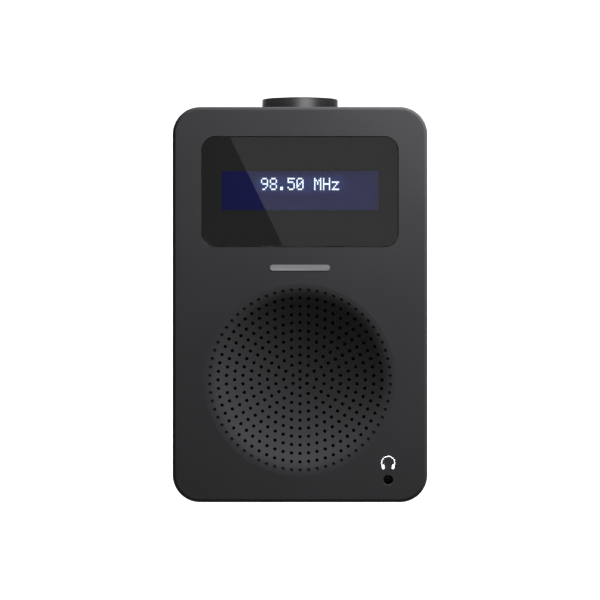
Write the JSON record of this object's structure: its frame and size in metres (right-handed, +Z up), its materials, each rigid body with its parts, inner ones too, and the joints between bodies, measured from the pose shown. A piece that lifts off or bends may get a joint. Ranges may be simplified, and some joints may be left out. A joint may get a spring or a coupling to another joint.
{
  "type": "table radio",
  "caption": "Small upright table radio with a dished speaker grille, a lit display, a turning and pressing knob, top keys and a folding telescopic antenna.",
  "frame": {"origin": "on the table under the middle of the cabinet", "axes": "+Z up, -Y the way the speaker and display face, +X to the right of someone looking at the front"},
  "size_m": [0.097, 0.0651, 0.1558],
  "materials": {
    "cabinet": "fine moulded texture, satin",
    "lens": "clear tinted acrylic, polished",
    "ink": "black print",
    "lcd_holder": "moulded, matt",
    "lcd": "polished, film on both faces",
    "backlight": "light guide, lit blue",
    "circuit_board": "solder mask, satin",
    "components": "moulded, matt",
    "badge": "brushed, clear lacquer",
    "cloth": "woven, matt",
    "foam": "foam, matt",
    "rubber": "moulded, matt",
    "basket": "black coat, satin",
    "plated_steel": "zinc plated",
    "ferrite": "sintered, matt",
    "cone_paper": "pressed paper, matt",
    "spider_cloth": "impregnated cloth",
    "copper_coil": "enamelled wire",
    "socket": "moulded",
    "shield": "tinned",
    "encoder": "plated",
    "switches": "moulded",
    "cell_wrap": "printed sleeve, gloss",
    "contact_metal": "nickel plated",
    "lead_jacket": "insulated wire",
    "ribbon": "film",
    "knob_plastic": "satin",
    "knob_metal": "spun, dark anodised",
    "key_plastic": "satin",
    "antenna_metal": "bright plated",
    "antenna_plastic": "moulded",
    "screw_steel": "black zinc"
  },
  "bodies": {
    "radio": {"front_cover": "cabinet", "rear_cover": "cabinet", "display_window": "lens", "window_mask": "ink", "lcd_frame": "lcd_holder", "lcd_glass": "lcd", "backlight_panel": "backlight", "display_board": "circuit_board", "front_badge": "badge", "grille_cloth": "cloth", "speaker_gasket": "foam", "speaker_basket": "basket", "speaker_magnet": "ferrite", "speaker_top_plate": "plated_steel", "speaker_yoke": "plated_steel", "speaker_surround": "rubber", "speaker_spider": "spider_cloth", "speaker_screws": "screw_steel", "headphone_jack": "socket", "jack_board": "circuit_board", "main_board": "circuit_board", "board_screws": "screw_steel", "tuner_shield": "shield", "board_components": "components", "key_board": "circuit_board", "encoder_body": "encoder", "key_switches": "switches", "battery_cells": "cell_wrap", "battery_springs": "contact_metal", "battery_contacts": "contact_metal", "usb_socket": "contact_metal", "power_board": "circuit_board", "antenna_lead": "lead_jacket", "audio_leads": "lead_jacket", "power_leads": "lead_jacket", "ribbon_cables": "ribbon", "feet": "rubber", "case_screws": "screw_steel"},
    "push_rod": {"encoder_push_rod": "encoder"},
    "knob_set": {"encoder_shaft": "encoder", "knob": "knob_plastic", "knob_cap": "knob_metal"},
    "power_key": {"power_key": "key_plastic"},
    "mode_key": {"mode_key": "key_plastic"},
    "menu_key": {"menu_key": "key_plastic"},
    "preset_key": {"preset_key": "key_plastic"},
    "battery_door": {"battery_door": "cabinet"},
    "antenna_swivel": {"antenna_swivel": "antenna_metal", "antenna_pin": "antenna_metal", "antenna_screw": "screw_steel"},
    "antenna_arm": {"antenna_knuckle": "antenna_metal", "antenna_tube_1": "antenna_metal"},
    "antenna_section_2": {"antenna_tube_2": "antenna_metal"},
    "antenna_section_3": {"antenna_tube_3": "antenna_metal"},
    "antenna_section_4": {"antenna_tube_4": "antenna_metal"},
    "antenna_end": {"antenna_rod": "antenna_metal", "antenna_tip": "antenna_plastic"},
    "speaker_driver": {"speaker_cone": "cone_paper", "dust_cap": "cone_paper", "voice_coil": "copper_coil"}
  },
  "joints": [
    {"name": "knob_push", "type": "slide", "parent": "radio", "child": "push_rod", "axis": [0, 0, -1], "range_m": [0, 0.0005], "stiffness_N_per_m": 2000},
    {"name": "knob_turn", "type": "hinge", "parent": "push_rod", "child": "knob_set", "pos_m": [0, -0.004, 0.15], "axis": [0, 0, 1], "continuous": true},
    {"name": "power_key_press", "type": "slide", "parent": "radio", "child": "power_key", "axis": [0, 0, -1], "range_m": [0, 0.0005], "stiffness_N_per_m": 2000},
    {"name": "mode_key_press", "type": "slide", "parent": "radio", "child": "mode_key", "axis": [0, 0, -1], "range_m": [0, 0.0005], "stiffness_N_per_m": 2000},
    {"name": "menu_key_press", "type": "slide", "parent": "radio", "child": "menu_key", "axis": [0, 0, -1], "range_m": [0, 0.0005], "stiffness_N_per_m": 2000},
    {"name": "preset_key_press", "type": "slide", "parent": "radio", "child": "preset_key", "axis": [0, 0, -1], "range_m": [0, 0.0005], "stiffness_N_per_m": 2000},
    {"name": "battery_door_open", "type": "hinge", "parent": "radio", "child": "battery_door", "pos_m": [0, 0.0312, 0.0133], "axis": [-1, 0, 0], "range_deg": [0, 90]},
    {"name": "antenna_turn", "type": "hinge", "parent": "radio", "child": "antenna_swivel", "pos_m": [-0.0375, 0.0275, 0.1464], "axis": [0, 0, 1], "range_deg": [0, 180]},
    {"name": "antenna_raise", "type": "hinge", "parent": "antenna_swivel", "child": "antenna_arm", "pos_m": [-0.0375, 0.0275, 0.1464], "axis": [0, -1, 0], "range_deg": [0, 90]},
    {"name": "antenna_slide_2", "type": "slide", "parent": "antenna_arm", "child": "antenna_section_2", "axis": [1, 0, 0], "range_m": [0, 0.062]},
    {"name": "antenna_slide_3", "type": "slide", "parent": "antenna_section_2", "child": "antenna_section_3", "axis": [1, 0, 0], "range_m": [0, 0.062]},
    {"name": "antenna_slide_4", "type": "slide", "parent": "antenna_section_3", "child": "antenna_section_4", "axis": [1, 0, 0], "range_m": [0, 0.062]},
    {"name": "antenna_slide_5", "type": "slide", "parent": "antenna_section_4", "child": "antenna_end", "axis": [1, 0, 0], "range_m": [0, 0.062]},
    {"name": "cone_travel", "type": "slide", "parent": "radio", "child": "speaker_driver", "axis": [0, -1, 0], "range_m": [-0.001, 0.001], "stiffness_N_per_m": 1000, "deforming": ["speaker_surround", "speaker_spider"]}
  ]
}
